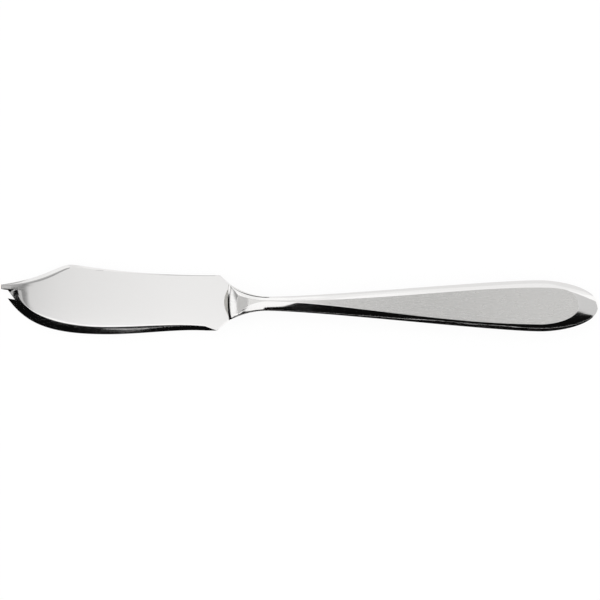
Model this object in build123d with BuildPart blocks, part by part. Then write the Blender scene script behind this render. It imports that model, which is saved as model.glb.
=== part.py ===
from build123d import *
import os
from math import atan2, cos, hypot, pi, sin, sqrt

# Fish knife with a hollow handle. A ground blade carries a tang, and the tang is cemented between
# two pressed half shells that are brazed together round their rims.
# Millimetres. X runs from the blade tip to the end of the handle, +Y is the spine side, and Z = 0 is
# the flat of the back shell, on which the knife lies. Outline heights count from the handle's axis.

# Lengths along the knife
overall_length = 210.0
blade_length = 80.4        # tip to the mouth of the handle
flare_length = 13.6        # mouth to neck
end_length = 20.3          # widest place to the end

# Blade outline
beak_height = 6.0          # top of the blunt beak at the tip
beak_width = 1.6
prong_from_tip = 2.3       # point below the notch
prong_height = 1.2
notch_from_tip = 4.9       # bottom of the notch
notch_height = 0.75
notch_top_from_tip = 2.4   # where the notch runs out under the beak
notch_top_height = 4.1
hump_from_tip = 24.5
hump_height = 13.2
belly_from_tip = 36.3
belly_depth = 11.2
spine_height = 9.9         # at the heel
edge_depth = 9.6           # at the heel
spine_shoulder = 3.4       # heel corners to the mouth, on the spine side and on the edge side
edge_shoulder = 4.4

# How far the blade's curves run on before they turn
beak_sweep = 15.4
beak_lift = 2.2
hump_lead = 4.6
hump_trail = 4.2
spine_sweep = 31.7
spine_hollow = 0.6
edge_sweep = 10.5
edge_hollow = 0.5
belly_lead = 12.7
belly_trail = 19.0
prong_sweep = 6.5
prong_drop = 9.0

# Blade section, and the flat face that the ground bevels leave
blade_thickness = 1.6
edge_thickness = 0.5
belly_bevel = 2.8
heel_bevel = 1.6
heel_runout = 4.1          # the bevel fades into the heel corner over this length
hump_bevel = 1.2           # the bevel along the spine narrows from the hump to the heel
spine_bevel = 0.3
face_tip_setback = 0.15    # the face runs out on the beak in a narrow tongue
face_tip_height = 5.6
face_tip_width = 1.05
throat_setback = 5.65      # where the tongue widens into the face
throat_height = 5.05
face_prong_setback = 6.1
face_prong_height = 2.6
face_beak_sweep = 16.35
face_beak_drop = 0.2
face_hump_lead = 2.7
face_edge_rise = 1.1
face_belly_trail = 12.1
face_prong_sweep = 2.3
face_prong_drop = 7.6

# Handle widths: the outline, and the flat between its bevels
mouth_width = 12.85
mouth_rise = 0.475         # the mouth's middle lies to the spine side of the axis by this
mouth_bulge = 0.6          # the mouth's front swells towards the blade
neck_width = 5.05
handle_width = 18.05
mouth_flat = 7.0
neck_flat = 0.8
handle_flat = 12.7
neck_lead = 19.0           # how far the taper runs on at the neck and at the widest place
widest_lead = 17.2
flat_neck_lead = 26.0
flat_widest_lead = 15.0
end_fullness = 0.3         # pull of the rounded end's curves, as a share of their chord

# Handle section, and how far its facets draw in at the mouth and at the end
handle_thickness = 5.6
lower_bevel_run = 1.1
lower_bevel_drop = 0.9
upper_bevel_drop = 0.6
lip_lower_run = 0.6
lip_upper_run = 1.8
end_lower_run = 1.6
end_upper_run = 7.5
shell_wall = 0.8
mouth_wall = 1.5

# Tang, cement and braze
tang_length = 62.0         # from the mouth
tang_root_cover = 2.4      # cement beside the tang at the mouth
tang_neck_cover = 0.42     # cement beside the tang from the neck on
tang_notch_radius = 0.6
tang_notch_offset = 0.2    # notch centres lie this far outside the tang's sides
tang_notch_pitch = 7.0
tang_notch_count = 3
fit = 0.05                 # clearance of the tang in its slot and of the cement in the shells
seam_thickness = 0.2
braze_reach = 1.9
braze_height = 0.4
braze_land = 0.1           # width of the braze's top against the mouth
braze_side_gap = 0.95

# Places
tip_x = -overall_length / 2
end_x = overall_length / 2
mouth_x = tip_x + blade_length
heel_x = mouth_x - edge_shoulder
spine_heel_x = mouth_x - spine_shoulder
grind_x = heel_x - heel_runout
hump_x = tip_x + hump_from_tip
belly_x = tip_x + belly_from_tip
neck_x = mouth_x + flare_length
widest_x = end_x - end_length
half_thickness = handle_thickness / 2
axis_y = (belly_depth - hump_height) / 2
middle = Plane(origin=(0, axis_y, half_thickness))

beak_top = (tip_x, beak_height)
beak_bottom = (tip_x, beak_height - beak_width)
prong = (tip_x + prong_from_tip, prong_height)
notch_bottom = (tip_x + notch_from_tip, notch_height)
notch_top = (tip_x + notch_top_from_tip, notch_top_height)
heel_bottom = (heel_x, -edge_depth)
root_top = (mouth_x, mouth_rise + mouth_width / 2)
root_middle = (mouth_x - mouth_bulge, mouth_rise)
root_bottom = (mouth_x, mouth_rise - mouth_width / 2)
tang_root_x = mouth_x - 2 * mouth_bulge
tang_half_root = mouth_width / 2 - mouth_rise - shell_wall - tang_root_cover
tang_half_width = neck_width / 2 - shell_wall - tang_neck_cover
tang_end_x = mouth_x + tang_length


# Front of a blade outline, from the tip back to a line between the hump and the belly
def nose_outline(tip, tip_pull, hump_pull, hump, belly, belly_pull, prong_pull, prong_at, throat, tip_low):
    with BuildSketch() as outline:
        with BuildLine():
            Bezier(tip, tip_pull, hump_pull, hump)
            Line(hump, belly)
            Bezier(belly, belly_pull, prong_pull, prong_at)
            Polyline(prong_at, throat, tip_low, tip)
        make_face()
    return outline.sketch


# Rest of a blade outline, from that line back to the root, which is hollowed to fit the mouth
def body_outline(hump, heel_top, grind, grind_pull, belly_pull, belly):
    with BuildSketch() as outline:
        with BuildLine():
            Bezier(
                hump,
                (hump[0] + hump_trail, hump[1]),
                (heel_top[0] - spine_sweep, heel_top[1] - spine_hollow),
                heel_top,
            )
            Line(heel_top, root_top)
            ThreePointArc(root_top, root_middle, root_bottom)
            Polyline(root_bottom, heel_bottom, grind)
            Bezier(grind, grind_pull, belly_pull, belly)
            Line(belly, hump)
        make_face()
    return outline.sketch


# Outline of the blade at its edge, before the notch is cut, in two parts
def edge_outline():
    hump = (hump_x, hump_height)
    belly = (belly_x, -belly_depth)
    nose = nose_outline(
        beak_top,
        (tip_x + beak_sweep, beak_height + beak_lift),
        (hump_x - hump_lead, hump_height),
        hump,
        belly,
        (belly_x - belly_trail, -belly_depth),
        (prong[0] + prong_sweep, prong_height - prong_drop),
        prong,
        ((prong[0] + notch_top[0]) / 2, (prong[1] + notch_top[1]) / 2),
        beak_bottom,
    )
    body = body_outline(
        hump,
        (spine_heel_x, spine_height),
        (grind_x, -edge_depth),
        (grind_x - edge_sweep, -edge_depth + edge_hollow),
        (belly_x + belly_lead, -belly_depth),
        belly,
    )
    return nose, body


# Outline of the flat face, inside the bevels at the edge and along the spine. Its two parts meet on the same
# leaning line as those of the edge's outline
def face_outline():
    face_tip_x = tip_x + face_tip_setback
    face_prong_x = tip_x + face_prong_setback
    grind_y = heel_bevel - edge_depth
    belly_y = belly_bevel - belly_depth
    lean = (belly_x - hump_x) / (hump_height + belly_depth)
    hump = (hump_x + lean * hump_bevel, hump_height - hump_bevel)
    belly = (belly_x - lean * belly_bevel, belly_y)
    nose = nose_outline(
        (face_tip_x, face_tip_height),
        (face_tip_x + face_beak_sweep, face_tip_height - face_beak_drop),
        (hump[0] - face_hump_lead, hump[1]),
        hump,
        belly,
        (belly[0] - face_belly_trail, belly_y),
        (face_prong_x + face_prong_sweep, face_prong_height - face_prong_drop),
        (face_prong_x, face_prong_height),
        (tip_x + throat_setback, throat_height),
        (face_tip_x, face_tip_height - face_tip_width),
    )
    body = body_outline(
        hump,
        (spine_heel_x, spine_height - spine_bevel),
        (grind_x, grind_y),
        (grind_x - edge_sweep, grind_y + face_edge_rise),
        (belly[0] + belly_lead, belly_y),
        belly,
    )
    return nose, body


# Plan of the tang, grown all round by a clearance for the slot and the cement that hold it
def tang_outline(grow):
    half_root = tang_half_root + grow
    half_width = tang_half_width + grow
    end_at = tang_end_x + grow
    last_notch_x = tang_end_x - tang_notch_pitch
    notch_y = tang_half_width + tang_notch_offset
    notches = [
        (last_notch_x - i * tang_notch_pitch, side * notch_y)
        for i in range(tang_notch_count)
        for side in (1, -1)
    ]
    with BuildSketch() as outline:
        with BuildLine():
            Polyline(
                (tang_root_x, half_root),
                (neck_x, half_width),
                (end_at, half_width),
                (end_at, -half_width),
                (neck_x, -half_width),
                (tang_root_x, -half_root),
                close=True,
            )
        make_face()
        with Locations(*notches):
            Circle(tang_notch_radius - grow, mode=Mode.SUBTRACT)
    return outline.sketch


# Plan of the handle at one level, in three parts: flared mouth, long taper and rounded end. The leads
# are how far the taper runs on at the neck and at the widest place
def handle_outline(mouth_at, mouth_high, mouth_low, half_neck, half_widest, end_at, leads):
    mouth_top = (mouth_at, mouth_high)
    mouth_bottom = (mouth_at, mouth_low)
    end_pull = end_fullness * hypot(end_at - widest_x, half_widest)
    with BuildSketch() as flare:
        with BuildLine():
            ThreePointArc(mouth_bottom, (mouth_at - mouth_bulge, (mouth_high + mouth_low) / 2), mouth_top)
            Line((neck_x, -half_neck), (neck_x, half_neck))
            TangentArc((neck_x, half_neck), mouth_top, tangent=(-1, 0))
            TangentArc((neck_x, -half_neck), mouth_bottom, tangent=(-1, 0))
        make_face()
    with BuildSketch() as taper:
        with BuildLine():
            Line((neck_x, -half_neck), (neck_x, half_neck))
            Line((widest_x, -half_widest), (widest_x, half_widest))
            for side in (1, -1):
                Bezier(
                    (neck_x, side * half_neck),
                    (neck_x + leads[0], side * half_neck),
                    (widest_x - leads[1], side * half_widest),
                    (widest_x, side * half_widest),
                )
        make_face()
    with BuildSketch() as end:
        with BuildLine():
            Line((widest_x, -half_widest), (widest_x, half_widest))
            for side in (1, -1):
                Bezier(
                    (widest_x, side * half_widest),
                    (widest_x + end_pull, side * half_widest),
                    (end_at, side * end_pull),
                    (end_at, 0),
                )
        make_face()
    return flare.sketch, taper.sketch, end.sketch


# How far from the axis a flare lies at a place x. Its arc leaves the neck along the axis and would reach
# the mouth's corner, and it is drawn in by an inset
def flare_reach(x, mouth_at, mouth_reach, half_neck, inset):
    run = neck_x - mouth_at
    rise = mouth_reach - half_neck
    radius = (run**2 + rise**2) / (2 * rise)
    return half_neck + radius - sqrt((radius + inset) ** 2 - (neck_x - x) ** 2)


# How far a corner between two facets draws in and down when both facets move in by one millimetre
def corner_shift(upper_slope, lower_slope):
    mean = (upper_slope + lower_slope) / 2
    spread = (lower_slope - upper_slope) / 2
    return sin(mean) / cos(spread), cos(mean) / cos(spread)


# The four levels of a half handle from the seam up, as (height, outline), drawn in by an inset
def handle_levels(inset, mouth_inset):
    flat_run = (handle_width - handle_flat) / 2
    upper_slope = atan2(upper_bevel_drop, flat_run - lower_bevel_run)
    lower_slope = atan2(lower_bevel_drop, lower_bevel_run)
    flat_in, flat_down = corner_shift(0, upper_slope)
    break_in, break_down = corner_shift(upper_slope, lower_slope)
    side_in, side_down = corner_shift(lower_slope, pi / 2)
    break_height = half_thickness - upper_bevel_drop
    side_height = break_height - lower_bevel_drop
    leads = (neck_lead, widest_lead)
    flat_leads = (flat_neck_lead, flat_widest_lead)

    def level(mouth, neck, widest, lip_run, end_run, shift, leads):
        drawn_in = shift * inset
        mouth_at = mouth_x + max(lip_run, mouth_inset)
        lip = (mouth_at, mouth_x + lip_run)
        return handle_outline(
            mouth_at,
            flare_reach(*lip, mouth / 2 + mouth_rise, neck / 2, drawn_in),
            -flare_reach(*lip, mouth / 2 - mouth_rise, neck / 2, drawn_in),
            neck / 2 - drawn_in,
            widest / 2 - drawn_in,
            end_x - end_run - drawn_in,
            leads,
        )

    break_widths = [width - 2 * lower_bevel_run for width in (mouth_width, neck_width, handle_width)]
    rim = level(mouth_width, neck_width, handle_width, 0, 0, side_in, leads)
    break_line = level(*break_widths, lip_lower_run, end_lower_run, break_in, leads)
    flat = level(mouth_flat, neck_flat, handle_flat, lip_upper_run, end_upper_run, flat_in, flat_leads)
    return [
        (0, rim),
        (side_height - side_down * inset, rim),
        (break_height - break_down * inset, break_line),
        (half_thickness - flat_down * inset, flat),
    ]


# Adds or removes the solid between stacked outlines, each given as (height above the middle, parts)
def loft_levels(levels, mode=Mode.ADD):
    for (low, low_parts), (high, high_parts) in zip(levels, levels[1:]):
        for low_part, high_part in zip(low_parts, high_parts):
            sections = (middle.offset(low) * low_part, middle.offset(high) * high_part)
            loft(sections, ruled=True, mode=mode)


# Blade: flat face and ground bevels on both sides, notched tip, tang with cement notches
with BuildPart() as blade:
    loft_levels([
        (-blade_thickness / 2, face_outline()),
        (-edge_thickness / 2, edge_outline()),
        (edge_thickness / 2, edge_outline()),
        (blade_thickness / 2, face_outline()),
    ])
    with BuildSketch(middle):
        with BuildLine():
            Polyline(
                prong,
                notch_bottom,
                notch_top,
                beak_bottom,
                (tip_x - notch_from_tip, beak_bottom[1]),
                (tip_x - notch_from_tip, prong_height),
                close=True,
            )
        make_face()
    extrude(amount=blade_thickness, both=True, mode=Mode.SUBTRACT)
    with BuildSketch(middle):
        add(tang_outline(0))
    extrude(amount=blade_thickness / 2, both=True)

# Front shell: pressed sheet with a flat, two bevels and a straight rim, closed at the mouth by a
# wall with a slot for the tang
with BuildPart() as handle_front_shell:
    loft_levels(handle_levels(0, 0))
    loft_levels(handle_levels(shell_wall, mouth_wall), Mode.SUBTRACT)
    with BuildSketch(middle):
        add(tang_outline(fit))
    extrude(amount=blade_thickness / 2 + fit, mode=Mode.SUBTRACT)
    split(bisect_by=middle.offset(seam_thickness / 2), keep=Keep.TOP)

# Back shell: the same pressing turned over
with BuildPart() as handle_back_shell:
    mirror(handle_front_shell.part, about=middle)

# Braze left in the seam between the two rims, open where the tang goes in
with BuildPart() as seam_braze:
    with BuildSketch(middle):
        add(handle_levels(0, 0)[0][1])
        add(handle_levels(shell_wall, mouth_wall)[0][1], mode=Mode.SUBTRACT)
        add(tang_outline(fit), mode=Mode.SUBTRACT)
    extrude(amount=seam_thickness / 2, both=True)

# Cement cast round the tang, filling both shells
with BuildPart() as handle_filler:
    loft_levels(handle_levels(shell_wall + fit, mouth_wall + fit))
    mirror(about=middle)
    with BuildSketch(middle):
        add(tang_outline(fit))
    extrude(amount=blade_thickness / 2 + fit, both=True, mode=Mode.SUBTRACT)

# Braze that runs out on both faces of the blade in a crescent and closes the mouth round the tang
with BuildPart() as mouth_braze:
    half_chord = mouth_width / 2 - braze_side_gap
    braze_radius = (half_chord**2 + braze_reach**2) / (2 * braze_reach)
    centre_x = mouth_x + braze_radius - braze_reach
    with Locations((centre_x, axis_y + mouth_rise, half_thickness + blade_thickness / 2)):
        Cone(
            braze_radius,
            braze_radius - braze_reach + mouth_bulge + braze_land,
            braze_height,
            align=(Align.CENTER, Align.CENTER, Align.MIN),
        )
    split(bisect_by=Plane.YZ.offset(mouth_x), keep=Keep.BOTTOM)
    with BuildSketch(middle):
        add(handle_levels(0, 0)[0][1])
    extrude(amount=half_thickness, mode=Mode.SUBTRACT)
    mirror(about=middle)

os.makedirs("parts", exist_ok=True)
for name, piece in (
    ("blade", blade),
    ("handle_front_shell", handle_front_shell),
    ("handle_back_shell", handle_back_shell),
    ("seam_braze", seam_braze),
    ("handle_filler", handle_filler),
    ("mouth_braze", mouth_braze),
):
    piece.part.label = name
    export_step(piece.part, f"parts/{name}.step")
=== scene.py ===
from math import hypot, radians

import bpy
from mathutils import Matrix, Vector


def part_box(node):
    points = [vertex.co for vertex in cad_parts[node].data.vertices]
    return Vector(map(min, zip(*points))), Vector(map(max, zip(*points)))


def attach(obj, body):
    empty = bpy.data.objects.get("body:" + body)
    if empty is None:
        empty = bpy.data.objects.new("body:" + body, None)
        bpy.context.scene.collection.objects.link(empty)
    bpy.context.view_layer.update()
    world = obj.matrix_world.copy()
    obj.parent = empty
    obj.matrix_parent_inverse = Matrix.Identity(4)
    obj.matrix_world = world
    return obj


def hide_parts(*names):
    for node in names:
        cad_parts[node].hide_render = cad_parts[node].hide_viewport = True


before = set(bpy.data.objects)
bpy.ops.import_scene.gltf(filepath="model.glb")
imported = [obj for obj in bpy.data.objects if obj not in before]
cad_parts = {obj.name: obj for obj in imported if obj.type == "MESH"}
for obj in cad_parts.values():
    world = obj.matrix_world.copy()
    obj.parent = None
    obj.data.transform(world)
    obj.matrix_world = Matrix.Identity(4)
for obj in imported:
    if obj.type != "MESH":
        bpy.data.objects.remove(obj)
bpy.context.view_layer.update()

# Blade: one stainless steel bar, forged with its tang, ground to an edge and mirror polished.
# The ground bevels leave a flat face on both sides, and a notch is cut at the tip. The tang goes
# into the handle and is held there by the cement that sets in its notches.
mm = 0.001
blade_low, blade_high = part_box("blade")
shell_low, shell_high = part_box("handle_front_shell")
tip_x = blade_low.x
tang_end_x = blade_high.x
mouth_x = tip_x + 80.4 * mm
axis_y = (shell_low.y + shell_high.y) / 2
middle_z = (blade_low.z + blade_high.z) / 2
half_blade = (blade_high.z - blade_low.z) / 2
hump_height = blade_high.y - axis_y
belly_depth = axis_y - blade_low.y

half_prong = 0.08 * mm           # half thicknesses along the cutting edge
half_edge = 0.25 * mm
half_heel = 0.785 * mm
half_beak = 0.42 * mm            # and along the spine
half_spine = 0.2 * mm
half_back = 0.55 * mm
edge_crown = 0.05 * mm           # the bevels swell a little between their two edges
spine_crown = 0.05 * mm
crease_share = 0.063             # polishing breaks the face's crease, this share of the bevel's depth down
back_crease_share = 0.14         # and this much further behind the hump

spine_heel_x = mouth_x - 3.4 * mm
heel_x = mouth_x - 4.4 * mm
grind_x = heel_x - 4.1 * mm      # the bevel fades into the heel from here
hump_x = tip_x + 24.5 * mm
belly_x = tip_x + 36.3 * mm
neck_x = mouth_x + 13.6 * mm
spine_height = 9.9 * mm
edge_depth = 9.6 * mm
half_mouth = 6.425 * mm
mouth_rise = 0.475 * mm          # the mouth's middle lies to the spine side of the axis
mouth_bulge = 0.6 * mm           # the mouth's front swells towards the blade
half_tang_root = 2.75 * mm
half_tang = 1.305 * mm
prong_x = tip_x + 2.3 * mm
prong_height = 1.2 * mm
beak_low = 4.4 * mm

curve_steps = 32                 # edges in each span of an outline


def deselect():
    if bpy.context.object and bpy.context.object.mode != "OBJECT":
        bpy.ops.object.mode_set(mode="OBJECT")
    bpy.ops.object.select_all(action="DESELECT")


# A closed outline as a loop of edges: a Bezier circle pulled to its corners, which is then made a mesh.
# Each span is its start, and for a curve the two places that pull it.
def draw_loop(name, spans, height):
    deselect()
    bpy.ops.curve.primitive_bezier_circle_add()
    loop = bpy.context.object
    spline = loop.data.splines[0]
    spline.resolution_u = curve_steps
    spline.bezier_points.add(len(spans) - len(spline.bezier_points))
    for point in spline.bezier_points:
        point.handle_left_type = "FREE"
        point.handle_right_type = "FREE"
    for i, (start, *pulls) in enumerate(spans):
        after = (i + 1) % len(spans)
        end = spans[after][0]
        if not pulls:
            pulls = [[a + (b - a) * share for a, b in zip(start, end)] for share in (1 / 3, 2 / 3)]
        spline.bezier_points[i].co = (*start, 0)
        spline.bezier_points[i].handle_right = (*pulls[0], 0)
        spline.bezier_points[after].handle_left = (*pulls[1], 0)
    bpy.ops.object.convert(target="MESH")
    loop = bpy.context.object
    bpy.ops.transform.translate(value=(0, 0, height))
    bpy.ops.object.transform_apply(location=True, rotation=True, scale=True)
    loop.vertex_groups.new(name=name).add(range(len(loop.data.vertices)), 1.0, "REPLACE")
    return loop


def select_groups(piece, *names):
    bpy.ops.mesh.select_mode(type="VERT")
    bpy.ops.mesh.select_all(action="DESELECT")
    for name in names:
        piece.vertex_groups.active = piece.vertex_groups[name]
        bpy.ops.object.vertex_group_select()
    bpy.ops.mesh.select_mode(type="EDGE")


# Skins a stack of outlines. They are drawn well apart, joined, bridged each to the next and closed at the
# ends that are asked for. Then each sinks to its own height, which is a level or a rule of the place.
def skin_levels(name, levels, closed_ends):
    apart = 10 * mm
    loops = [draw_loop(group, spans, i * apart) for i, (group, spans, height) in enumerate(levels)]
    deselect()
    for loop in loops:
        loop.select_set(True)
    bpy.context.view_layer.objects.active = loops[0]
    bpy.ops.object.join()
    piece = bpy.context.object
    piece.name = name
    bpy.ops.object.mode_set(mode="EDIT")
    for low, high in zip(levels, levels[1:]):
        select_groups(piece, low[0], high[0])
        bpy.ops.mesh.bridge_edge_loops()
    for group in closed_ends:
        select_groups(piece, group)
        bpy.ops.mesh.edge_face_add()
    bpy.ops.object.mode_set(mode="OBJECT")
    heights = {piece.vertex_groups[group].index: height for group, spans, height in levels}
    for vertex in piece.data.vertices:
        height = heights[vertex.groups[0].group]
        vertex.co.z = height(vertex.co.x, vertex.co.y) if callable(height) else height
    bpy.ops.object.mode_set(mode="EDIT")
    bpy.ops.mesh.select_all(action="SELECT")
    bpy.ops.mesh.normals_make_consistent(inside=False)
    return piece


# Rounds the crease along one loop of a piece in edit mode
def round_crease(piece, group, width, segments):
    select_groups(piece, group)
    bpy.ops.mesh.bevel(offset=width, segments=segments, affect="EDGES", clamp_overlap=True)
    bpy.ops.object.vertex_group_clean(group_select_mode="ALL", limit=0.5)
    bpy.ops.mesh.select_all(action="SELECT")
    bpy.ops.mesh.remove_doubles(threshold=0.002 * mm)


def apply_modifier(piece, kind, **settings):
    bpy.context.view_layer.objects.active = piece
    modifier = piece.modifiers.new(kind.lower(), kind)
    for key, value in settings.items():
        setattr(modifier, key, value)
    bpy.ops.object.modifier_apply(modifier=modifier.name)


# Cuts one piece's shape out of another
def cut_away(piece, cutter):
    deselect()
    piece.select_set(True)
    apply_modifier(piece, "BOOLEAN", operation="DIFFERENCE", solver="EXACT", object=cutter)
    bpy.data.objects.remove(cutter)
    bpy.ops.object.mode_set(mode="EDIT")
    bpy.ops.mesh.select_all(action="SELECT")
    bpy.ops.mesh.remove_doubles(threshold=0.001 * mm)
    bpy.ops.mesh.normals_make_consistent(inside=False)
    bpy.ops.object.mode_set(mode="OBJECT")


# Moves a piece that was modelled about the knife's middle plane to its place in the frame
def set_in_place(piece):
    deselect()
    piece.select_set(True)
    bpy.context.view_layer.objects.active = piece
    bpy.ops.transform.translate(value=(0, axis_y, middle_z))
    bpy.ops.object.transform_apply(location=True, rotation=True, scale=True)


# The blade's outline at one level, from the beak round by the spine, the tang and the edge. side and
# tang_side are how far the level lies inside the straight sides of the blade and of the tang. The spans that
# curve or differ are given whole.
def blade_spans(beak, hump, grind, belly, nose, side, tang_side):
    root_x = mouth_x - side
    root = half_mouth - side
    tang_root_x = root_x - 0.8 * mouth_bulge     # how far the mouth's front has swollen at the tang
    tang_root = half_tang_root - tang_side
    tang = half_tang - tang_side
    tang_end = tang_end_x - tang_side
    return [
        beak,
        hump,
        ((spine_heel_x - side / 2, spine_height - side),),
        ((root_x, mouth_rise + root),),
        ((tang_root_x, tang_root),),
        ((neck_x, tang),),
        ((tang_end, tang),),
        ((tang_end, -tang),),
        ((neck_x, -tang),),
        ((tang_root_x, -tang_root),),
        ((root_x, mouth_rise - root),),
        ((heel_x - side / 2, side / 6 - edge_depth),),
        grind,
        belly,
        *nose,
    ]


# A level a share of the way from one outline to another
def between(low, high, share):
    return [
        tuple(tuple(a + (b - a) * share for a, b in zip(p, q)) for p, q in zip(start, end))
        for start, end in zip(low, high)
    ]


# The outer outline, along the cutting edge and the spine
edge_spans = blade_spans(
    beak=(
        (tip_x, 6.0 * mm),
        (tip_x + 15.4 * mm, 8.2 * mm),
        (hump_x - 4.6 * mm, hump_height),
    ),
    hump=(
        (hump_x, hump_height),
        (hump_x + 4.2 * mm, hump_height),
        (spine_heel_x - 31.7 * mm, spine_height - 0.6 * mm),
    ),
    grind=(
        (grind_x, -edge_depth),
        (grind_x - 10.5 * mm, 0.5 * mm - edge_depth),
        (belly_x + 12.7 * mm, -belly_depth),
    ),
    belly=(
        (belly_x, -belly_depth),
        (belly_x - 19.0 * mm, -belly_depth),
        (prong_x + 6.5 * mm, prong_height - 9.0 * mm),
    ),
    nose=[
        ((prong_x, prong_height),),
        ((tip_x + 1.6 * mm, 2.2 * mm),),
        ((tip_x, beak_low),),
    ],
    side=0,
    tang_side=0,
)
# The flat face inside the bevels, with a narrow tongue that runs out on the beak
face_depth = belly_depth - 2.8 * mm
face_grind = edge_depth - 1.6 * mm
face_hump = hump_height - 0.95 * mm
face_prong_x = tip_x + 6.1 * mm
face_tip_x = tip_x + 0.15 * mm
face_spans = blade_spans(
    beak=(
        (face_tip_x, 5.6 * mm),
        (tip_x + 16.5 * mm, 5.4 * mm),
        (hump_x - 2.7 * mm, face_hump),
    ),
    hump=(
        (hump_x, face_hump),
        (hump_x + 3.0 * mm, hump_height - 0.6 * mm),
        (spine_heel_x - 31.7 * mm, spine_height - 0.9 * mm),
    ),
    grind=(
        (grind_x, -face_grind),
        (grind_x - 10.5 * mm, 1.1 * mm - face_grind),
        (belly_x + 12.7 * mm, -face_depth),
    ),
    belly=(
        (belly_x, -face_depth),
        (belly_x - 12.1 * mm, -face_depth),
        (face_prong_x + 2.3 * mm, -5.0 * mm),
    ),
    nose=[
        ((face_prong_x, 2.6 * mm),),
        ((tip_x + 5.65 * mm, 5.05 * mm),),
        ((face_tip_x, 4.55 * mm),),
    ],
    side=0.3 * mm,
    tang_side=0.1 * mm,
)
# Inside this outline the face is level, and outside it the face falls away to the tip
level_depth = face_depth - 1.2 * mm
level_grind = face_grind - 1.2 * mm
level_hump = face_hump - 1.2 * mm
level_spans = blade_spans(
    beak=(
        (tip_x + 10.6 * mm, 5.4 * mm),
        (tip_x + 17.0 * mm, 5.9 * mm),
        (hump_x - 2.5 * mm, level_hump),
    ),
    hump=(
        (hump_x, level_hump),
        (hump_x + 4.2 * mm, level_hump),
        (spine_heel_x - 31.7 * mm, spine_height - 2.0 * mm),
    ),
    grind=(
        (grind_x, -level_grind),
        (grind_x - 10.5 * mm, 1.1 * mm - level_grind),
        (belly_x + 12.7 * mm, -level_depth),
    ),
    belly=(
        (belly_x, -level_depth),
        (belly_x - 11.0 * mm, -level_depth),
        (tip_x + 11.5 * mm, -4.4 * mm),
    ),
    nose=[
        ((tip_x + 10.6 * mm, -0.6 * mm),),
        ((tip_x + 10.2 * mm, 2.0 * mm),),
        ((tip_x + 10.3 * mm, 4.2 * mm),),
    ],
    side=1.4 * mm,
    tang_side=0.5 * mm,
)

fall_x = tip_x + 30.0 * mm       # the face falls away outside a circle round this place
fall_y = 3.0 * mm
fall_radius = 19.6 * mm
fall_blend = 3.0 * mm            # width over which the fall grows to its full slope
fall_slope = 0.034


def face_height(x, y):
    out = max(hypot(min(x - fall_x, 0), y - fall_y) - fall_radius, 0)
    blend = min(out, fall_blend)
    return half_blade - fall_slope * (blend**2 / (2 * fall_blend) + out - blend)


# The share of the way from one place to another, which starts and ends gently
def smooth_step(x, start, end):
    share = min(max((x - start) / (end - start), 0), 1)
    return share * share * (3 - 2 * share)


# 0 along the edge and 1 at the heel
def into_heel(x):
    return min(max((x - grind_x) / (heel_x - grind_x), 0), 1)


beak_back_x = tip_x + 6 * mm     # behind here the edge and the spine leave the tip's thickness
full_edge_x = hump_x - 2 * mm    # the cutting edge has its own thickness from here
crowned_x = tip_x + 14 * mm      # the spine's bevel has its full crown from here
full_bevel_x = tip_x + 20 * mm   # and is steepest from here to the hump
full_back_x = hump_x + 10 * mm   # only the spine's corner is broken from here


# The cutting edge thins out to the prong and thickens where the bevel fades into the heel. The bevel of the
# spine steepens behind the beak, and behind the hump only the spine's corner is broken.
def edge_height(x, y):
    if y < beak_low:
        to_hump = smooth_step(x, beak_back_x, full_edge_x)
        return half_prong + (half_edge - half_prong) * to_hump + (half_heel - half_edge) * into_heel(x)
    from_beak = smooth_step(x, beak_back_x, full_bevel_x)
    to_back = smooth_step(x, hump_x, full_back_x)
    return half_beak + (half_spine - half_beak) * from_beak + (half_back - half_spine) * to_back


# 0 before the hump and 1 behind it
def behind_hump(x):
    return smooth_step(x, hump_x - 5 * mm, hump_x + 1 * mm)


def bevel_height(x, y):
    from_beak = smooth_step(x, beak_back_x, crowned_x)
    crown = edge_crown * (1 - into_heel(x)) if y < beak_low else spine_crown * (from_beak - behind_hump(x))
    return (edge_height(x, y) + face_height(x, y)) / 2 + crown


# Behind the hump the spine's crease is broken more
def crease_height(x, y):
    share = crease_share if y < beak_low else crease_share + back_crease_share * behind_hump(x)
    return face_height(x, y) - share * (face_height(x, y) - edge_height(x, y))


# The facet along the crease is wide from the beak to the hump and narrows round the prong
crease_place = 0.86              # where the facet starts, as a share of the way up the bevel
hump_crease_place = 0.7
prong_crease_place = 0.97
crease_spans = between(edge_spans, face_spans, crease_place)
crease_spans[0] = between(edge_spans, face_spans, hump_crease_place)[0]
crease_spans[-3:-1] = between(edge_spans, face_spans, prong_crease_place)[-3:-1]
blade = skin_levels(
    "blade_ground_steel",
    [
        ("middle", edge_spans, 0),
        ("edge", edge_spans, edge_height),
        ("bevel", between(edge_spans, face_spans, 0.5), bevel_height),
        ("crease", crease_spans, crease_height),
        ("face", face_spans, face_height),
        ("fall", between(face_spans, level_spans, 0.35), face_height),
        ("fall_high", between(face_spans, level_spans, 0.7), face_height),
        ("level", level_spans, face_height),
    ],
    ["level"],
)
bpy.ops.object.mode_set(mode="OBJECT")
apply_modifier(blade, "MIRROR", use_axis=(False, False, True), use_clip=True, merge_threshold=0.001 * mm)

# The notch under the beak, cut by a shape that runs out past the tip
clear_x = tip_x - 3 * mm
notch_spans = [
    ((prong_x, prong_height),),
    ((tip_x + 4.9 * mm, 0.75 * mm),),
    ((tip_x + 2.4 * mm, 4.1 * mm),),
    ((tip_x, beak_low),),
    ((clear_x, beak_low),),
    ((clear_x, prong_height),),
]
notch = skin_levels(
    "notch",
    [("low", notch_spans, -2 * half_blade), ("high", notch_spans, 2 * half_blade)],
    ["low", "high"],
)
cut_away(blade, notch)

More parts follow.
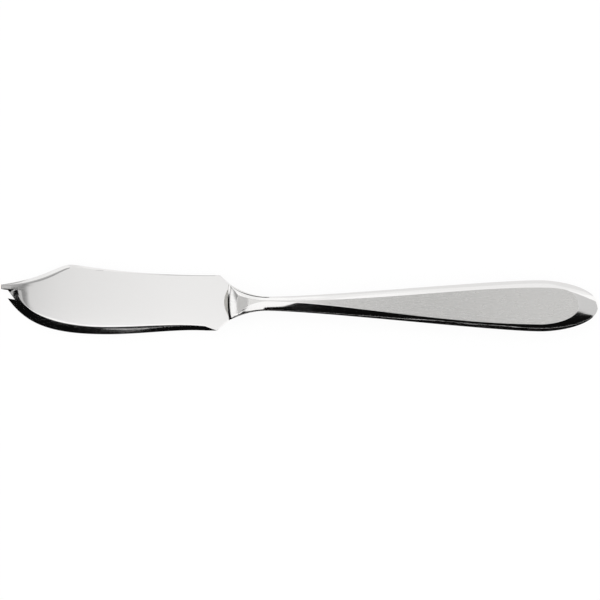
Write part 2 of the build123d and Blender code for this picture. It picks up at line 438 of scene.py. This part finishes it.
# The cement notches in the tang's sides, three in each
notch_radius = 0.6 * mm
notch_pitch = 7.0 * mm
notch_y = half_tang + 0.2 * mm
for i in range(3):
    for side in (1, -1):
        deselect()
        bpy.ops.mesh.primitive_cylinder_add(
            vertices=24,
            radius=notch_radius,
            depth=4 * half_blade,
            location=(tang_end_x - (i + 1) * notch_pitch, side * notch_y, 0),
        )
        cut_away(blade, bpy.context.object)

set_in_place(blade)
bpy.ops.object.shade_smooth_by_angle(angle=radians(30))
apply_modifier(blade, "WEIGHTED_NORMAL", mode="FACE_AREA", keep_sharp=True)


# sRGB hex to the linear colour that a shader takes
def colour(hex_code):
    parts = [int(hex_code[i:i + 2], 16) / 255 for i in (0, 2, 4)]
    return (*[c / 12.92 if c <= 0.04045 else ((c + 0.055) / 1.055) ** 2.4 for c in parts], 1.0)


# Adds a node with its settings. An input is given a value or linked to another node's output.
def add_node(tree, kind, inputs, **settings):
    node = tree.nodes.new(kind)
    for key, value in settings.items():
        setattr(node, key, value)
    for key, value in inputs.items():
        if isinstance(value, bpy.types.NodeSocket):
            tree.links.new(value, node.inputs[key])
        else:
            node.inputs[key].default_value = value
    return node


def new_material(name):
    material = bpy.data.materials.new(name)
    material.use_nodes = True
    material.node_tree.nodes.clear()
    return material


# Mirror-polished stainless steel: the polishing wheel leaves a mirror with a faint lengthwise haze.
# Its lines are far too fine to show, so they are drawn 0.4 mm wide and very weak.
polished_steel = new_material("mirror_polished_stainless_steel")
tree = polished_steel.node_tree
place = add_node(tree, "ShaderNodeTexCoord", {})
wheel_lines = add_node(
    tree,
    "ShaderNodeMapping",
    {"Vector": place.outputs["Object"], "Scale": (1 / (12 * mm), 1 / (0.4 * mm), 1 / (0.4 * mm))},
)
haze = add_node(
    tree,
    "ShaderNodeTexNoise",
    {"Vector": wheel_lines.outputs["Vector"], "Scale": 1.0, "Detail": 3.0},
)
gloss = add_node(
    tree,
    "ShaderNodeMapRange",
    {"Value": haze.outputs["Fac"], "From Min": 0.3, "From Max": 0.7, "To Min": 0.07, "To Max": 0.11},
)
steel = add_node(
    tree,
    "ShaderNodeBsdfPrincipled",
    {"Base Color": colour("fbfaf9"), "Metallic": 1.0, "Roughness": gloss.outputs["Result"]},
)
add_node(tree, "ShaderNodeOutputMaterial", {"Surface": steel.outputs["BSDF"]})

blade.data.materials.append(polished_steel)
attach(blade, "root")
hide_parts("blade")

# Handle shells: two like half shells, pressed from stainless sheet and brazed rim to rim. Each has a flat
# with a fine satin finish between polished bevels, and a wall at the mouth with a slot for the tang.
end_x = shell_high.x
half_handle = (shell_high.y - shell_low.y) / 2
flat_height = shell_high.z - middle_z
seam_height = shell_low.z - middle_z
widest_x = end_x - 20.3 * mm
half_neck = 2.525 * mm
half_neck_break = 2.05 * mm
half_flat = 6.5 * mm
bevel_run = 1.1 * mm             # plan width of the lower bevel
turn_run = 0.28 * mm             # and of a narrow facet under the break, which softens it along the flare
end_fullness = 0.3               # pull of the rounded end's curves, as a share of their chord
taper_leads = (19.0 * mm, 17.2 * mm)     # how far the taper runs on from the neck and from the widest place
sheet = 0.8 * mm
mouth_wall = 1.5 * mm
inner_break_height = 1.5 * mm
inner_side_height = 0.9 * mm


# Plan of the handle at one level, from the top of the mouth round by the end. insets are how far the level
# stands back from the mouth and from the end. corners and necks are how far the mouth's corners and the
# neck's sides lie above and below the axis. leads are how far the taper runs on at the neck and at the widest
# place, and fullness is the pull of the rounded end, above and below the axis too.
def handle_spans(
    insets,
    corners,
    necks,
    widest,
    leads=(taper_leads, taper_leads),
    fullness=(end_fullness, end_fullness),
):
    mouth_at = mouth_x + insets[0]
    end_at = end_x - insets[1]
    halves = []
    for corner, neck, (neck_lead, wide_lead), full in zip(corners, necks, leads, fullness):
        pull = full * hypot(end_at - widest_x, widest)
        flare = neck_x - mouth_at
        drop = corner - neck
        radius = (flare**2 + drop**2) / (2 * drop)
        sine = flare / radius            # of the angle that the flare turns through
        cosine = (1 - sine**2) ** 0.5
        lead = radius * 2 / 3 * sine / (1 + cosine)
        halves.append([
            (
                (mouth_at, corner),
                (mouth_at + lead * cosine, corner - lead * sine),
                (neck_x - lead, neck),
            ),
            ((neck_x, neck), (neck_x + neck_lead, neck), (widest_x - wide_lead, widest)),
            ((widest_x, widest), (widest_x + pull, widest), (end_at, pull)),
        ])
    top, bottom = halves
    ends = [(neck_x, necks[1]), (widest_x, widest), (end_at, 0)]
    way_back = [
        tuple((x, -y) for x, y in (end, *reversed(span[1:])))
        for end, span in zip(reversed(ends), reversed(bottom))
    ]
    high, low = corners
    front_x = mouth_at - mouth_bulge * 4 / 3     # a curve swells three quarters as far as it is pulled
    front = ((mouth_at, -low), (front_x, (high - 2 * low) / 3), (front_x, (2 * high - low) / 3))
    return [*top, *way_back, front]


# A height that goes gently from one place along the handle to the next
def along_handle(*stops):
    def height(x, y):
        value = stops[0][1]
        for (start, low), (end, high) in zip(stops, stops[1:]):
            value += (high - low) * smooth_step(x, start, end)
        return value
    return height


# A height with one rule on the spine side and another on the edge side, blended across the axis
def on_sides(spine_side, edge_side):
    half_blend = 1.5 * mm

    def height(x, y):
        share = smooth_step(y, -half_blend, half_blend)
        return edge_side(x, y) + (spine_side(x, y) - edge_side(x, y)) * share
    return height


# The facets lie low and soft round the neck, and grow to their full depth along the taper. Behind the mouth's
# lip they slope more on the spine side than on the edge side. Each pair is a place and the height there.
lip_swell = (mouth_x + 2 * mm, 2.594 * mm)
lip_break = (mouth_x + 1 * mm, 2.4 * mm)
taper_swell = (neck_x + 11 * mm, 2.54 * mm)
taper_break = (
    (neck_x + 11 * mm, 2.36 * mm),
    (neck_x + 27 * mm, 2.2 * mm),
    (widest_x, 2.2 * mm),
    (end_x, 1.75 * mm),
)
swell_height = on_sides(
    along_handle(lip_swell, (neck_x, 2.68 * mm), (neck_x + 5 * mm, 2.68 * mm), taper_swell),
    along_handle(lip_swell, (mouth_x + 5 * mm, 2.72 * mm), (neck_x + 5 * mm, 2.725 * mm), taper_swell),
)
break_height = on_sides(
    along_handle(lip_break, (neck_x, 2.57 * mm), (neck_x + 5 * mm, 2.57 * mm), *taper_break),
    along_handle(
        lip_break,
        (mouth_x + 4 * mm, 2.64 * mm),
        (neck_x - 2 * mm, 2.64 * mm),
        (neck_x, 2.5 * mm),
        (neck_x + 5 * mm, 2.48 * mm),
        *taper_break,
    ),
)
neck_run = half_neck - half_neck_break
lower_run = along_handle((neck_x, neck_run), (widest_x, bevel_run), (end_x, 0.5 * mm))
lower_slope = along_handle((neck_x, 0.65), (neck_x + 10 * mm, 0.85), (widest_x, 0.85), (end_x, 0.7))


def side_height(x, y):
    return break_height(x, y) - lower_slope(x, y) * lower_run(x, y)


turn_slope = along_handle((neck_x, 0.5), (neck_x + 10 * mm, 0.85), (widest_x, 0.85), (end_x, 0.65))


def turn_height(x, y):
    return break_height(x, y) - turn_slope(x, y) * turn_run


# The outside, from the rim up over the break and the swell to the flat
outer_spans = handle_spans(
    insets=(0, 0),
    corners=(6.9 * mm, 5.95 * mm),
    necks=(half_neck, half_neck),
    widest=half_handle,
)
turn_neck = half_neck_break + turn_run
turn_spans = handle_spans(
    insets=(0.42 * mm, 0.22 * mm),
    corners=(6.2 * mm, 5.45 * mm),
    necks=(turn_neck, turn_neck),
    widest=half_handle - bevel_run + turn_run,
)
break_spans = handle_spans(
    insets=(0.7 * mm, 0.5 * mm),
    corners=(5.9 * mm, 5.1 * mm),
    necks=(half_neck_break, half_neck_break),
    widest=half_handle - bevel_run,
)
swell_spans = handle_spans(
    insets=(1.9 * mm, 3.5 * mm),
    corners=(4.4 * mm, 4.4 * mm),
    necks=(1.55 * mm, 0.85 * mm),
    widest=half_flat + 0.7 * mm,
    leads=((30.0 * mm, 26.0 * mm), (28.0 * mm, 36.0 * mm)),
    fullness=(0.36, end_fullness),
)
flat_spans = handle_spans(
    insets=(3.2 * mm, 7.0 * mm),
    corners=(2.9 * mm, 3.8 * mm),
    necks=(1.15 * mm, -0.8 * mm),
    widest=half_flat,
    leads=((42.0 * mm, 26.0 * mm), (28.0 * mm, 40.0 * mm)),
    fullness=(0.42, end_fullness),
)
# The inside, from the rim up to the back of the flat
inner_spans = handle_spans(
    insets=(mouth_wall, sheet),
    corners=(5.0 * mm, 4.3 * mm),
    necks=(half_neck - sheet, half_neck - sheet),
    widest=half_handle - sheet,
)
inner_break_spans = handle_spans(
    insets=(mouth_wall, 2.0 * mm),
    corners=(4.2 * mm, 3.6 * mm),
    necks=(1.0 * mm, 1.0 * mm),
    widest=half_handle - bevel_run - 0.45 * mm,
)
inner_flat_spans = handle_spans(
    insets=(3.2 * mm, 7.7 * mm),
    corners=(2.7 * mm, 2.7 * mm),
    necks=(0.3 * mm, 0.3 * mm),
    widest=half_flat,
)
front_shell = skin_levels(
    "handle_front_shell_steel",
    [
        ("inner_flat", inner_flat_spans, flat_height - sheet),
        ("inner_break", inner_break_spans, inner_break_height),
        ("inner_side", inner_spans, inner_side_height),
        ("inner_rim", inner_spans, seam_height),
        ("outer_rim", outer_spans, seam_height),
        ("outer_side", outer_spans, side_height),
        ("outer_turn", turn_spans, turn_height),
        ("outer_break", break_spans, break_height),
        ("outer_swell", swell_spans, swell_height),
        ("outer_flat", flat_spans, flat_height),
    ],
    ["inner_flat", "outer_flat"],
)
# Polishing rounds the creases
round_crease(front_shell, "outer_flat", width=0.1 * mm, segments=3)
round_crease(front_shell, "outer_break", width=0.15 * mm, segments=4)
round_crease(front_shell, "outer_side", width=0.06 * mm, segments=2)
bpy.ops.object.mode_set(mode="OBJECT")

# The slot in the mouth's wall, with a little room round the tang
slot_room = 0.1 * mm
deselect()
bpy.ops.mesh.primitive_cube_add(size=1, location=(mouth_x, 0, 0))
slot_cutter = bpy.context.object
slot_cutter.scale = (4 * mouth_wall, 2 * half_tang_root + slot_room, 2 * half_blade + slot_room)
bpy.ops.object.transform_apply(location=True, rotation=True, scale=True)
cut_away(front_shell, slot_cutter)

# The back shell is the same pressing turned over
deselect()
front_shell.select_set(True)
bpy.context.view_layer.objects.active = front_shell
bpy.ops.object.duplicate()
back_shell = bpy.context.object
back_shell.name = "handle_back_shell_steel"
back_shell.scale = (1, 1, -1)
bpy.ops.object.transform_apply(location=True, rotation=True, scale=True)
bpy.ops.object.mode_set(mode="EDIT")
bpy.ops.mesh.select_all(action="SELECT")
bpy.ops.mesh.flip_normals()
bpy.ops.object.mode_set(mode="OBJECT")

# Satin stainless steel: the flat is rubbed lengthwise with a fine abrasive, which breaks its mirror into a
# soft sheen. The taper is rubbed finer than the mouth, and the neck between them stays polished. The
# scratches are far finer than a pixel, so they are drawn 0.35 mm wide.
satin_steel = new_material("satin_stainless_steel")
tree = satin_steel.node_tree
place = add_node(tree, "ShaderNodeTexCoord", {})
rubbing = add_node(
    tree,
    "ShaderNodeMapping",
    {"Vector": place.outputs["Object"], "Scale": (1 / (3.0 * mm), 1 / (0.35 * mm), 1 / (0.35 * mm))},
)
scratches = add_node(
    tree,
    "ShaderNodeTexNoise",
    {"Vector": rubbing.outputs["Vector"], "Scale": 1.0, "Detail": 4.0},
)
sheen = add_node(
    tree,
    "ShaderNodeMapRange",
    {"Value": scratches.outputs["Fac"], "From Min": 0.3, "From Max": 0.7, "To Min": 0.33, "To Max": 0.4},
)
axes = add_node(tree, "ShaderNodeSeparateXYZ", {0: place.outputs["Object"]})
on_taper = add_node(
    tree,
    "ShaderNodeMapRange",
    {"Value": axes.outputs["X"], "From Min": neck_x + 9 * mm, "From Max": neck_x + 25 * mm, "To Max": 0.6},
    interpolation_type="SMOOTHSTEP",
)
at_mouth = add_node(
    tree,
    "ShaderNodeMapRange",
    {"Value": axes.outputs["X"], "From Min": mouth_x + 7.0 * mm, "From Max": mouth_x + 6.2 * mm},
)
rubbed = add_node(tree, "ShaderNodeMath", {0: on_taper.outputs["Result"], 1: at_mouth.outputs["Result"]})
finish = add_node(
    tree,
    "ShaderNodeMapRange",
    {"Value": rubbed.outputs[0], "To Min": 0.1, "To Max": sheen.outputs["Result"]},
)
streaks = add_node(
    tree,
    "ShaderNodeMix",
    {"Factor": scratches.outputs["Fac"], 6: colour("e0dfdd"), 7: colour("fbfaf8")},
    data_type="RGBA",
)
steel = add_node(
    tree,
    "ShaderNodeBsdfPrincipled",
    {"Base Color": streaks.outputs[2], "Metallic": 1.0, "Roughness": finish.outputs["Result"]},
)
add_node(tree, "ShaderNodeOutputMaterial", {"Surface": steel.outputs["BSDF"]})

level_normal = 0.9999            # faces that are this level and lie this near the top are the flat
flat_margin = 0.1 * mm
for shell, node in ((front_shell, "handle_front_shell"), (back_shell, "handle_back_shell")):
    set_in_place(shell)
    bpy.ops.object.shade_smooth_by_angle(angle=radians(30))
    apply_modifier(shell, "WEIGHTED_NORMAL", mode="FACE_AREA", keep_sharp=True)
    shell.data.materials.append(polished_steel)
    shell.data.materials.append(satin_steel)
    for face in shell.data.polygons:
        height = abs(face.center.z - middle_z)
        if abs(face.normal.z) > level_normal and height > flat_height - flat_margin:
            face.material_index = 1
    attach(shell, "root")
    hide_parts(node)

# Braze: silver alloy that is run in hot. It joins the shells round their rims and closes the mouth round the
# tang, in a crescent on each face of the blade. It is wiped and lightly polished, which leaves a soft pale
# shine in patches of about 0.6 mm.
braze = new_material("wiped_silver_braze")
tree = braze.node_tree
place = add_node(tree, "ShaderNodeTexCoord", {})
grain = add_node(tree, "ShaderNodeTexNoise", {"Vector": place.outputs["Object"], "Scale": 1 / (0.6 * mm)})
wiped = add_node(
    tree,
    "ShaderNodeMapRange",
    {"Value": grain.outputs["Fac"], "From Min": 0.3, "From Max": 0.7, "To Min": 0.3, "To Max": 0.4},
)
alloy = add_node(
    tree,
    "ShaderNodeBsdfPrincipled",
    {"Base Color": colour("e3e1db"), "Metallic": 1.0, "Roughness": wiped.outputs["Result"]},
)
add_node(tree, "ShaderNodeOutputMaterial", {"Surface": alloy.outputs["BSDF"]})
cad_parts["seam_braze"].data.materials.clear()
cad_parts["seam_braze"].data.materials.append(braze)


# The crescent at one level, which starts inside the mouth and reaches out over the blade
def crescent_spans(half_chord, reach):
    back_x = mouth_x + 0.4 * mm
    front_x = mouth_x - reach
    slant_x = (back_x + front_x) / 2
    slant = 0.75 * half_chord
    front = 0.4 * half_chord
    return [
        ((back_x, mouth_rise + half_chord), (slant_x, mouth_rise + slant), (front_x, mouth_rise + front)),
        ((front_x, mouth_rise), (front_x, mouth_rise - front), (slant_x, mouth_rise - slant)),
        ((back_x, mouth_rise - half_chord),),
        ((back_x, mouth_rise),),
    ]


# The fillet rises in a hollow curve from the blade's face, which it sinks into a little, to the mouth
foot_spans = crescent_spans(half_chord=5.9 * mm, reach=1.9 * mm)
rise_spans = crescent_spans(half_chord=5.7 * mm, reach=1.6 * mm)
slope_spans = crescent_spans(half_chord=5.5 * mm, reach=1.25 * mm)
crest_spans = crescent_spans(half_chord=5.2 * mm, reach=0.4 * mm)
crescent = skin_levels(
    "mouth_braze_fillet",
    [
        ("foot", foot_spans, half_blade - 0.05 * mm),
        ("toe", foot_spans, half_blade + 0.002 * mm),
        ("rise", rise_spans, half_blade + 0.014 * mm),
        ("slope", slope_spans, half_blade + 0.045 * mm),
        ("crest", crest_spans, half_blade + 0.16 * mm),
    ],
    ["foot", "crest"],
)
bpy.ops.mesh.duplicate()
bpy.ops.transform.mirror(constraint_axis=(False, False, True), center_override=(0, 0, 0))
bpy.ops.mesh.flip_normals()
bpy.ops.object.mode_set(mode="OBJECT")
set_in_place(crescent)
bpy.ops.object.shade_smooth_by_angle(angle=radians(30))
crescent.data.materials.append(braze)
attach(crescent, "root")
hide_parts("mouth_braze")

# Cement: plaster-like filling that is poured into the joined shells and sets round the tang. It is matt, with
# grit of about 0.5 mm. It lies inside the handle and doesn't show.
cement = new_material("set_handle_cement")
tree = cement.node_tree
place = add_node(tree, "ShaderNodeTexCoord", {})
grit = add_node(tree, "ShaderNodeTexNoise", {"Vector": place.outputs["Object"], "Scale": 1 / (0.5 * mm)})
shade = add_node(
    tree,
    "ShaderNodeMix",
    {"Factor": grit.outputs["Fac"], 6: colour("8f867a"), 7: colour("b5ab9c")},
    data_type="RGBA",
)
filling = add_node(tree, "ShaderNodeBsdfPrincipled", {"Base Color": shade.outputs[2], "Roughness": 0.9})
add_node(tree, "ShaderNodeOutputMaterial", {"Surface": filling.outputs["BSDF"]})
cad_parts["handle_filler"].data.materials.clear()
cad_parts["handle_filler"].data.materials.append(cement)

# Studio: a white table, an even white room, and cards round the table that the polished steel mirrors.
# Only the mirror sees the cards. To the camera and the steel the table is mostly a plain white ground, and
# the rest of it is matt paint that takes the knife's soft shadow.
table_gap = 0.02 * mm            # keeps the table clear of the flat that lies on it
white_share = 0.85               # how much of the table is plain white ground
deselect()
bpy.ops.mesh.primitive_plane_add(size=6, location=(0, 0, -table_gap))
floor = bpy.context.object
floor.name = "table"
paint = new_material("white_table")
tree = paint.node_tree
seen = add_node(tree, "ShaderNodeLightPath", {})
direct = add_node(
    tree,
    "ShaderNodeMath",
    {0: seen.outputs["Is Camera Ray"], 1: seen.outputs["Is Glossy Ray"]},
)
any_view = add_node(tree, "ShaderNodeMath", {0: direct.outputs[0], 1: seen.outputs["Is Transmission Ray"]})
ground = add_node(tree, "ShaderNodeMath", {0: any_view.outputs[0], 1: white_share}, operation="MULTIPLY")
matt = add_node(tree, "ShaderNodeBsdfDiffuse", {"Color": (0.95, 0.95, 0.95, 1.0)})
white = add_node(tree, "ShaderNodeEmission", {"Color": (1.0, 1.0, 1.0, 1.0), "Strength": 1.02})
both = add_node(tree, "ShaderNodeMixShader", {0: ground.outputs[0], 1: matt.outputs[0], 2: white.outputs[0]})
add_node(tree, "ShaderNodeOutputMaterial", {"Surface": both.outputs[0]})
floor.data.materials.append(paint)

room = bpy.data.worlds.new("white_room")
room.use_nodes = True
room.node_tree.nodes["Background"].inputs["Color"].default_value = (1.0, 1.0, 1.0, 1.0)
room.node_tree.nodes["Background"].inputs["Strength"].default_value = 1.0
bpy.context.scene.world = room


# A card with its corners in metres. Its tone is one number, or stops along X with the tone at each.
def hang_card(name, corners, tone):
    mesh = bpy.data.meshes.new(name)
    mesh.from_pydata(corners, [], [(0, 1, 2, 3)])
    card = bpy.data.objects.new(name, mesh)
    bpy.context.scene.collection.objects.link(card)
    material = new_material(name)
    tree = material.node_tree
    if isinstance(tone, list):
        left = tone[0][0]
        right = tone[-1][0]
        place = add_node(tree, "ShaderNodeTexCoord", {})
        axes = add_node(tree, "ShaderNodeSeparateXYZ", {0: place.outputs["Object"]})
        along = add_node(
            tree,
            "ShaderNodeMapRange",
            {"Value": axes.outputs["X"], "From Min": left, "From Max": right},
        )
        ramp = add_node(tree, "ShaderNodeValToRGB", {"Fac": along.outputs["Result"]})
        stops = ramp.color_ramp.elements
        for x, gray in tone[1:-1]:
            stops.new((x - left) / (right - left))
        for stop, (x, gray) in zip(stops, tone):
            stop.color = (gray, gray, gray, 1.0)
        shown = ramp.outputs["Color"]
    else:
        shown = (tone, tone, tone, 1.0)
    glow = add_node(tree, "ShaderNodeEmission", {"Color": shown, "Strength": 1.0})
    add_node(tree, "ShaderNodeOutputMaterial", {"Surface": glow.outputs["Emission"]})
    card.data.materials.append(material)
    card.visible_camera = False
    card.visible_diffuse = False
    card.visible_shadow = False


# Panels overhead: the blade's face, its fall at the tip, the handle's flat and the low facets mirror these
hang_card(
    "overhead_panel",
    [(-0.34, -0.03, 1.0), (0.42, -0.03, 1.0), (0.42, 0.08, 1.0), (-0.34, 0.08, 1.0)],
    [
        (-0.34, 0.6),
        (-0.325, 0.58),
        (-0.296, 0.17),
        (-0.272, 0.2),
        (-0.25, 0.6),
        (-0.2, 0.77),
        (-0.1, 0.86),
        (0.02, 0.84),
        (0.06, 0.6),
        (0.1, 0.25),
        (0.14, 0.3),
        (0.18, 1.0),
        (0.24, 0.95),
        (0.28, 0.6),
        (0.42, 0.62),
    ],
)
hang_card(
    "front_panel",
    [(0.04, -0.25, 1.0), (0.3, -0.25, 1.0), (0.3, -0.03, 1.0), (0.04, -0.03, 1.0)],
    [(0.04, 0.8), (0.07, 0.2), (0.13, 0.1), (0.17, 1.0), (0.3, 1.0)],
)
hang_card(
    "back_panel",
    [(-1.0, 0.08, 1.0), (0.7, 0.08, 1.0), (0.7, 0.3, 1.0), (-1.0, 0.3, 1.0)],
    [(-0.2, 0.33), (-0.185, 0.8), (-0.165, 0.75), (-0.14, 0.56), (0.05, 0.5), (0.16, 0.66), (0.215, 0.6)],
)
hang_card(
    "back_card",
    [(-1.0, 0.3, 1.0), (-0.12, 0.3, 1.0), (-0.12, 0.52, 0.88), (-1.0, 0.52, 0.88)],
    0.45,
)
hang_card(
    "tip_card",
    [(-0.16, -0.035, 0.2), (-0.144, -0.035, 0.2), (-0.144, 0.03, 0.2), (-0.25, 0.03, 0.2)],
    0.5,
)
hang_card(
    "tip_low_card",
    [(-0.335, -0.1, 1.0), (-0.245, -0.1, 1.0), (-0.245, -0.03, 1.0), (-0.335, -0.03, 1.0)],
    [(-0.335, 0.5), (-0.296, 0.3), (-0.272, 0.35), (-0.255, 0.7), (-0.245, 0.6)],
)

# Black flags in front and at both ends: the ground edge, the lower bevels and the rounded end mirror these
black_cloth = 0.003
hang_card(
    "front_flag",
    [(-1.2, -0.25, 1.0), (2.0, -0.25, 1.0), (2.0, -0.71, 0.4), (-1.2, -0.71, 0.4)],
    black_cloth,
)
hang_card(
    "front_low_flag",
    [(-1.2, -0.74, 0.36), (2.0, -0.74, 0.36), (2.0, -1.0, 0.02), (-1.2, -1.0, 0.02)],
    black_cloth,
)
hang_card(
    "left_flag",
    [(-0.46, 0.07, 1.0), (-0.46, -1.2, 1.0), (-1.1, -1.2, 0.02), (-1.1, 0.07, 0.02)],
    black_cloth,
)
hang_card(
    "corner_flag",
    [(-1.2, -0.12, 1.0), (-0.4, -0.12, 1.0), (-0.4, -0.9, 1.0), (-1.2, -0.9, 1.0)],
    black_cloth,
)
hang_card(
    "end_flag",
    [(0.34, -0.3, 1.2), (1.08, -0.3, 1.2), (1.08, -0.02, 1.2), (0.34, -0.02, 1.2)],
    black_cloth,
)

# Pale cards behind: the spine and the handle's upper bevels mirror these
hang_card(
    "back_top_card",
    [(-1.5, 1.2, 2.3), (1.5, 1.2, 2.3), (1.5, 1.2, 1.4), (-1.5, 1.2, 1.4)],
    [(-0.13, 0.84), (-0.1, 1.0), (0.03, 1.0), (0.06, 0.9)],
)
hang_card(
    "back_high_card",
    [(-1.5, 1.2, 1.4), (1.5, 1.2, 1.4), (1.5, 1.2, 0.62), (-1.5, 1.2, 0.62)],
    0.88,
)
hang_card(
    "back_low_card",
    [(-1.5, 1.2, 0.62), (1.5, 1.2, 0.62), (1.5, 1.2, 0.0), (-1.5, 1.2, 0.0)],
    0.78,
)
hang_card(
    "spine_card",
    [(-0.083, 0.1, 0.0), (-0.02, 0.1, 0.0), (-0.02, 0.1, 0.04), (-0.083, 0.1, 0.04)],
    [(-0.07, 0.85), (-0.058, 0.58)],
)

# Cards for single reflections: the dark line on the flare, the light line in the ground edge and the gray of
# the rounded end
hang_card(
    "flare_card",
    [(-0.0168, 0.014, 0.02), (-0.0112, 0.014, 0.02), (-0.0112, 0.037, 0.02), (-0.0168, 0.037, 0.02)],
    0.01,
)
hang_card(
    "edge_strip",
    [(-0.137, -0.276, 0.7), (-0.09, -0.345, 0.7), (-0.09, -0.366, 0.7), (-0.137, -0.294, 0.7)],
    1.0,
)
hang_card(
    "right_card",
    [(0.3, -0.018, 1.154), (0.3, 0.435, 1.154), (1.2, -0.2, 0.0), (1.2, -0.95, 0.0)],
    0.6,
)

# Camera: straight above the knife, with the small turn and shift of the photo
frame_width = 211.2 * mm
lens = 120.0
sensor = 36.0
shift_x = 0.2 * mm
shift_y = 0.4 * mm
turn = radians(0.45)
camera_data = bpy.data.cameras.new("plan_camera")
camera_data.lens = lens
camera_data.sensor_width = sensor
camera = bpy.data.objects.new("plan_camera", camera_data)
bpy.context.scene.collection.objects.link(camera)
camera.location = (shift_x, shift_y, middle_z + frame_width * lens / sensor)
camera.rotation_euler = (0, 0, turn)
bpy.context.scene.camera = camera
bpy.context.scene.view_settings.view_transform = "Standard"
